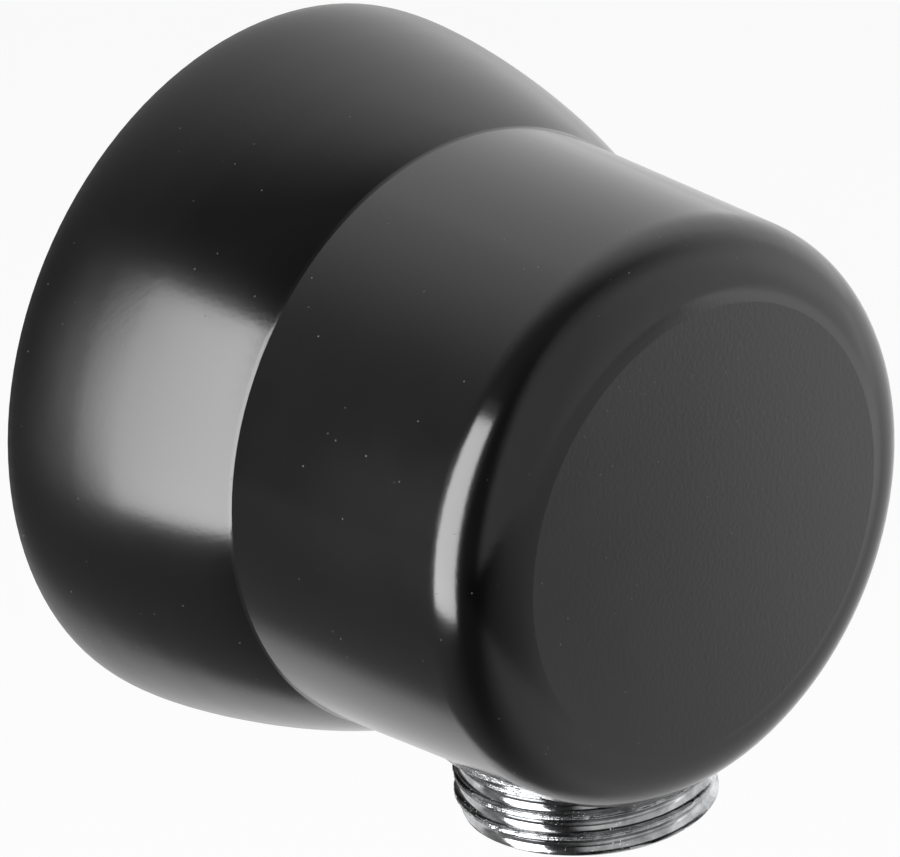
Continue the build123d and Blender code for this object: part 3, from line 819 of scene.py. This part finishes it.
# ---------------------------------------------------------------- check valve
# A white acetal cage pushed up the outlet bore, a poppet with a rubber seal that the water lifts
# off its seat, a stainless spring behind it and a guide held by a snap ring.
valve_white = moulded_plastic(
    "valve plastic", (0.66, 0.66, 0.63, 1.0), (0.74, 0.74, 0.71, 1.0), (0.30, 0.44)
)
for moulded in ("valve_cage", "valve_poppet", "valve_guide"):
    repaint(node[moulded], valve_white)
spring_wire = rolled_steel(
    "spring wire",
    (0.44, 0.44, 0.45, 1.0),
    (0.60, 0.60, 0.61, 1.0),
    (0.18, 0.30),
    (900.0, 900.0, 9000.0),
)
repaint(node["snap_ring"], spring_wire)

# The spring is wound from 0.4 mm wire. It stands on the guide and shortens as the poppet opens.
spring_low, spring_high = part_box("valve_spring")
spring_turns = 4.5
spring_steps = 180
wire_radius = 0.0002
coil_radius = (spring_high.x - spring_low.x) / 2 - wire_radius
coil_height = spring_high.z - spring_low.z - 2 * wire_radius
spring = bmesh.new()
bmesh.ops.create_circle(spring, cap_ends=False, segments=14, radius=wire_radius)
bmesh.ops.rotate(
    spring, cent=(0.0, 0.0, 0.0), matrix=Matrix.Rotation(math.pi / 2, 3, "X"), verts=spring.verts
)
bmesh.ops.translate(
    spring,
    vec=(nipple_axis[0] + coil_radius, nipple_axis[1], spring_low.z + wire_radius),
    verts=spring.verts,
)
bmesh.ops.spin(
    spring,
    geom=spring.verts[:] + spring.edges[:],
    cent=(nipple_axis[0], nipple_axis[1], 0.0),
    axis=(0.0, 0.0, 1.0),
    dvec=(0.0, 0.0, coil_height / spring_steps),
    angle=2 * math.pi * spring_turns,
    steps=spring_steps,
    use_merge=False,
    use_duplicate=False,
)
bmesh.ops.holes_fill(spring, edges=[edge for edge in spring.edges if edge.is_boundary], sides=0)
spring_piece = finish_piece(spring, "valve_spring_wound", 60.0)
repaint(spring_piece, spring_wire)
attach(spring_piece, "outlet_side")
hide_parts("valve_spring")
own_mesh(spring_piece)


# ---------------------------------------------------------------- retaining plate and fixings
# A zinc-plated steel plate holds the elbow in the housing. Three screws with washers pass through
# it, and the blackened grub screw underneath locks the housing on the nipple.
zinc_plate = rolled_steel(
    "zinc plated steel",
    (0.42, 0.43, 0.45, 1.0),
    (0.62, 0.63, 0.65, 1.0),
    (0.30, 0.46),
    (9000.0, 900.0, 700.0),
)
repaint(node["retaining_plate"], zinc_plate)
zinc_turned = turned_metal(
    "zinc plated screws",
    (0.44, 0.45, 0.47, 1.0),
    (0.64, 0.65, 0.67, 1.0),
    (0.24, 0.38),
    5200.0,
    turn=into_wall,
)
for fixing in ("screw_washers", "housing_screws"):
    repaint(node[fixing], zinc_turned)
grub_low, grub_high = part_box("grub_screw")
blackened_steel = turned_metal(
    "blackened steel",
    (0.035, 0.034, 0.034, 1.0),
    (0.085, 0.082, 0.080, 1.0),
    (0.34, 0.48),
    5200.0,
    centre=((grub_low.x + grub_high.x) / 2, (grub_low.y + grub_high.y) / 2, 0.0),
)
repaint(node["grub_screw"], blackened_steel)


# ---------------------------------------------------------------- floor
# A pale board well below the fitting. What it shows in reflections is painted light and shade: it
# glows bright towards the right and dim towards the left. It isn't there for an eye below it, so
# the underside can be looked at.
floor_level = cad_box[0].z - 0.24
floor_left = -1.2
floor_width, floor_length = 3.0, 5.0
floor_bm = bmesh.new()
bmesh.ops.create_grid(floor_bm, x_segments=1, y_segments=1, size=0.5)
bmesh.ops.scale(floor_bm, vec=(floor_width, floor_length, 1.0), verts=floor_bm.verts)
bmesh.ops.translate(
    floor_bm, vec=(floor_left + floor_width / 2, 0.0, floor_level), verts=floor_bm.verts
)
floor_mesh = bpy.data.meshes.new("floor")
floor_bm.to_mesh(floor_mesh)
floor_bm.free()
floor = bpy.data.objects.new("floor", floor_mesh)
bpy.context.scene.collection.objects.link(floor)

pale = bpy.data.materials.new("pale board")
pale.use_nodes = True
pale.node_tree.nodes.clear()
white = (1.0, 1.0, 1.0, 1.0)
board = add_node(
    pale.node_tree, "ShaderNodeBsdfDiffuse", inputs={"Color": (0.80, 0.80, 0.80, 1.0)}
)
shown = add_node(
    pale.node_tree, "ShaderNodeBsdfDiffuse", inputs={"Color": (0.34, 0.34, 0.34, 1.0)}
)
glow = add_node(
    pale.node_tree, "ShaderNodeEmission", inputs={"Color": white, "Strength": 0.72}
)
shown_white = add_node(pale.node_tree, "ShaderNodeAddShader")
path = add_node(pale.node_tree, "ShaderNodeLightPath")
# Painted light and shade for reflections: the strength the board glows with in reflections is
# worked out from its place, bright towards the right and dim towards the left.
board_place = add_node(pale.node_tree, "ShaderNodeTexCoord")
board_side = add_node(
    pale.node_tree,
    "ShaderNodeVectorMath",
    {"operation": "DOT_PRODUCT"},
    {1: (0.814, 0.581, 0.0)},
)
board_painted_light_behind = add_node(
    pale.node_tree,
    "ShaderNodeMapRange",
    inputs={"From Min": 0.025, "From Max": 0.07, "To Min": 0.24, "To Max": 0.97},
)
board_far = add_node(
    pale.node_tree,
    "ShaderNodeVectorMath",
    {"operation": "DOT_PRODUCT"},
    {1: (0.5, -0.25, 0.0)},
)
board_base = add_node(
    pale.node_tree,
    "ShaderNodeMapRange",
    inputs={"From Min": -1.0, "From Max": 0.455, "To Min": -0.835, "To Max": 0.62},
)
board_near = add_node(
    pale.node_tree,
    "ShaderNodeMapRange",
    {"interpolation_type": "SMOOTHSTEP"},
    {"From Min": -0.47, "From Max": -0.36, "To Min": 0.0, "To Max": 0.42},
)
board_along = add_node(
    pale.node_tree, "ShaderNodeMapRange", inputs={"From Min": -0.1, "From Max": 0.3}
)
board_soft = add_node(pale.node_tree, "ShaderNodeValToRGB")
board_stops = ((0.0, 0.0), (0.325, 0.0), (0.375, 0.17), (0.45, 0.56), (0.625, 0.56), (1.0, 0.30))
while len(board_soft.color_ramp.elements) < len(board_stops):
    board_soft.color_ramp.elements.new(0.5)
for element, (where, level) in zip(board_soft.color_ramp.elements, board_stops):
    element.position = where
    element.color = (level, level, level, 1.0)
board_apart_front = add_node(
    pale.node_tree,
    "ShaderNodeMapRange",
    {"interpolation_type": "SMOOTHSTEP"},
    {"From Min": -0.25, "From Max": -0.42, "To Min": 0.0, "To Max": 2.0},
)
board_bright = add_node(pale.node_tree, "ShaderNodeMath", {"operation": "MULTIPLY_ADD"})
board_sum = add_node(pale.node_tree, "ShaderNodeMath", {"operation": "ADD"})
board_left = add_node(
    pale.node_tree,
    "ShaderNodeVectorMath",
    {"operation": "DOT_PRODUCT"},
    {1: (0.719, -0.695, 0.0)},
)
board_left_edge = add_node(
    pale.node_tree,
    "ShaderNodeMapRange",
    {"interpolation_type": "SMOOTHSTEP"},
    {"From Min": -0.08, "From Max": 0.14, "To Min": 0.12, "To Max": 1.0},
)
board_painted_light_front = add_node(pale.node_tree, "ShaderNodeMath", {"operation": "MULTIPLY"})
board_mix = add_node(pale.node_tree, "ShaderNodeMix", {"data_type": "FLOAT"})
board_apart = add_node(pale.node_tree, "ShaderNodeSeparateXYZ")
board_front = add_node(
    pale.node_tree,
    "ShaderNodeMapRange",
    {"interpolation_type": "SMOOTHSTEP"},
    {"From Min": 0.12, "From Max": -0.12},
)
# The painted reflection: glossy rays see the board glow with that painted light and shade instead
# of its lit colour.
board_painted_reflection = add_node(pale.node_tree, "ShaderNodeEmission", inputs={"Color": white})
in_gloss = add_node(pale.node_tree, "ShaderNodeMixShader")
seen = add_node(pale.node_tree, "ShaderNodeMath", {"operation": "MAXIMUM"})
seen_through = add_node(pale.node_tree, "ShaderNodeMath", {"operation": "MAXIMUM"})
choose = add_node(pale.node_tree, "ShaderNodeMixShader")
below = add_node(pale.node_tree, "ShaderNodeNewGeometry")
clear = add_node(pale.node_tree, "ShaderNodeBsdfTransparent")
whole = add_node(pale.node_tree, "ShaderNodeMixShader")
pale_out = add_node(pale.node_tree, "ShaderNodeOutputMaterial")
for start, end in (
    (shown.outputs[0], shown_white.inputs[0]),
    (glow.outputs[0], shown_white.inputs[1]),
    (board_place.outputs["Object"], board_side.inputs[0]),
    (board_side.outputs["Value"], board_painted_light_behind.inputs["Value"]),
    (board_place.outputs["Object"], board_apart.inputs[0]),
    (board_apart.outputs["Y"], board_front.inputs["Value"]),
    (board_side.outputs["Value"], board_along.inputs["Value"]),
    (board_along.outputs["Result"], board_soft.inputs["Fac"]),
    (board_place.outputs["Object"], board_left.inputs[0]),
    (board_left.outputs["Value"], board_left_edge.inputs["Value"]),
    (board_place.outputs["Object"], board_far.inputs[0]),
    (board_far.outputs["Value"], board_base.inputs["Value"]),
    (board_apart.outputs["Y"], board_near.inputs["Value"]),
    (board_apart.outputs["Y"], board_apart_front.inputs["Value"]),
    (board_soft.outputs["Color"], board_bright.inputs[0]),
    (board_apart_front.outputs["Result"], board_bright.inputs[1]),
    (board_near.outputs["Result"], board_bright.inputs[2]),
    (board_bright.outputs[0], board_sum.inputs[0]),
    (board_base.outputs[0], board_sum.inputs[1]),
    (board_sum.outputs[0], board_painted_light_front.inputs[0]),
    (board_left_edge.outputs["Result"], board_painted_light_front.inputs[1]),
    (board_front.outputs["Result"], board_mix.inputs["Factor"]),
    (board_painted_light_behind.outputs["Result"], board_mix.inputs["A"]),
    (board_painted_light_front.outputs[0], board_mix.inputs["B"]),
    (board_mix.outputs["Result"], board_painted_reflection.inputs["Strength"]),
    (path.outputs["Is Glossy Ray"], in_gloss.inputs[0]),
    (shown_white.outputs[0], in_gloss.inputs[1]),
    (board_painted_reflection.outputs[0], in_gloss.inputs[2]),
    (path.outputs["Is Camera Ray"], seen.inputs[0]),
    (path.outputs["Is Glossy Ray"], seen.inputs[1]),
    (seen.outputs[0], seen_through.inputs[0]),
    (path.outputs["Is Transmission Ray"], seen_through.inputs[1]),
    (seen_through.outputs[0], choose.inputs[0]),
    (board.outputs[0], choose.inputs[1]),
    (in_gloss.outputs[0], choose.inputs[2]),
    (below.outputs["Backfacing"], whole.inputs[0]),
    (choose.outputs[0], whole.inputs[1]),
    (clear.outputs[0], whole.inputs[2]),
    (whole.outputs[0], pale_out.inputs["Surface"]),
):
    pale.node_tree.links.new(start, end)
floor.data.materials.append(pale)


# ---------------------------------------------------------------- light
# A plain soft studio: white all round on the right, falling away to a dark left side, and one tall
# soft panel on that dark side.
world = bpy.data.worlds.new("studio")
bpy.context.scene.world = world
world.use_nodes = True
world.node_tree.nodes.clear()
sky = world.node_tree
look = add_node(sky, "ShaderNodeTexCoord")
apart = add_node(sky, "ShaderNodeSeparateXYZ")
to_back_right = add_node(
    sky,
    "ShaderNodeVectorMath",
    {"operation": "DOT_PRODUCT"},
    {1: (0.5, 0.6, 0.0)},
)
side = add_node(sky, "ShaderNodeMath", {"operation": "ADD"}, {1: 0.5})
ramp = add_node(sky, "ShaderNodeValToRGB")
to_front = add_node(
    sky,
    "ShaderNodeVectorMath",
    {"operation": "DOT_PRODUCT"},
    {1: (0.616, -0.788, 0.0)},
)
front_edge = add_node(sky, "ShaderNodeMapRange", {"interpolation_type": "SMOOTHSTEP"})
front_edge.inputs["From Min"].default_value = -0.11
front_edge.inputs["From Max"].default_value = 0.13
front_rise = add_node(
    sky,
    "ShaderNodeMapRange",
    inputs={"From Min": 0.0, "From Max": 0.9, "To Min": 0.37, "To Max": 0.625},
)
front_depth = add_node(sky, "ShaderNodeMapRange", {"interpolation_type": "SMOOTHSTEP"})
front_depth.inputs["From Min"].default_value = -0.05
front_depth.inputs["From Max"].default_value = -0.55
front_part = add_node(sky, "ShaderNodeMath", {"operation": "MULTIPLY"})
front_level = add_node(sky, "ShaderNodeMath", {"operation": "MULTIPLY_ADD"})
room_light = add_node(sky, "ShaderNodeBackground", inputs={"Strength": 1.6})
backdrop = add_node(sky, "ShaderNodeBackground", inputs={"Color": white, "Strength": 1.0})
sky_path = add_node(sky, "ShaderNodeLightPath")
sky_seen = add_node(sky, "ShaderNodeMath", {"operation": "MAXIMUM"})
sky_choose = add_node(sky, "ShaderNodeMixShader")
sky_out = add_node(sky, "ShaderNodeOutputWorld")
stops = (
    (0.0, 0.02),
    (0.25, 0.06),
    (0.375, 0.09),
    (0.525, 0.10),
    (0.575, 0.16),
    (0.65, 0.22),
    (0.735, 0.375),
    (0.865, 0.61),
    (0.975, 0.72),
    (1.0, 0.80),
)
while len(ramp.color_ramp.elements) < len(stops):
    ramp.color_ramp.elements.new(0.5)
for element, (where, level) in zip(ramp.color_ramp.elements, stops):
    element.position = where
    element.color = (level, level, level, 1.0)
for start, end in (
    (look.outputs["Generated"], to_back_right.inputs[0]),
    (look.outputs["Generated"], apart.inputs[0]),
    (to_back_right.outputs["Value"], side.inputs[0]),
    (side.outputs[0], ramp.inputs["Fac"]),
    (look.outputs["Generated"], to_front.inputs[0]),
    (to_front.outputs["Value"], front_edge.inputs["Value"]),
    (apart.outputs["X"], front_rise.inputs["Value"]),
    (apart.outputs["Y"], front_depth.inputs["Value"]),
    (front_edge.outputs["Result"], front_part.inputs[0]),
    (front_depth.outputs["Result"], front_part.inputs[1]),
    (front_part.outputs[0], front_level.inputs[0]),
    (front_rise.outputs["Result"], front_level.inputs[1]),
    (ramp.outputs["Color"], front_level.inputs[2]),
    (front_level.outputs[0], room_light.inputs["Color"]),
    (sky_path.outputs["Is Camera Ray"], sky_seen.inputs[0]),
    (sky_path.outputs["Is Transmission Ray"], sky_seen.inputs[1]),
    (sky_seen.outputs[0], sky_choose.inputs[0]),
    (room_light.outputs[0], sky_choose.inputs[1]),
    (backdrop.outputs[0], sky_choose.inputs[2]),
    (sky_choose.outputs[0], sky_out.inputs["Surface"]),
):
    sky.links.new(start, end)

# The panel stands close on the left, upright and facing the fitting.
panel_width, panel_height, panel_level = 0.176, 0.358, 9.5
panel = bpy.data.objects.new("soft panel", bpy.data.lights.new("soft panel", "AREA"))
bpy.context.scene.collection.objects.link(panel)
panel.data.shape = "RECTANGLE"
panel.data.size = panel_width
panel.data.size_y = panel_height
panel.data.energy = panel_level * math.pi * panel_width * panel_height
panel.location = (-0.27, 0.022, 0.059)
panel.rotation_mode = "QUATERNION"
panel.rotation_quaternion = Vector((1.0, 0.0, 0.0)).to_track_quat("-Z", "Y")
panel.visible_camera = False

bpy.context.scene.view_settings.view_transform = "Standard"
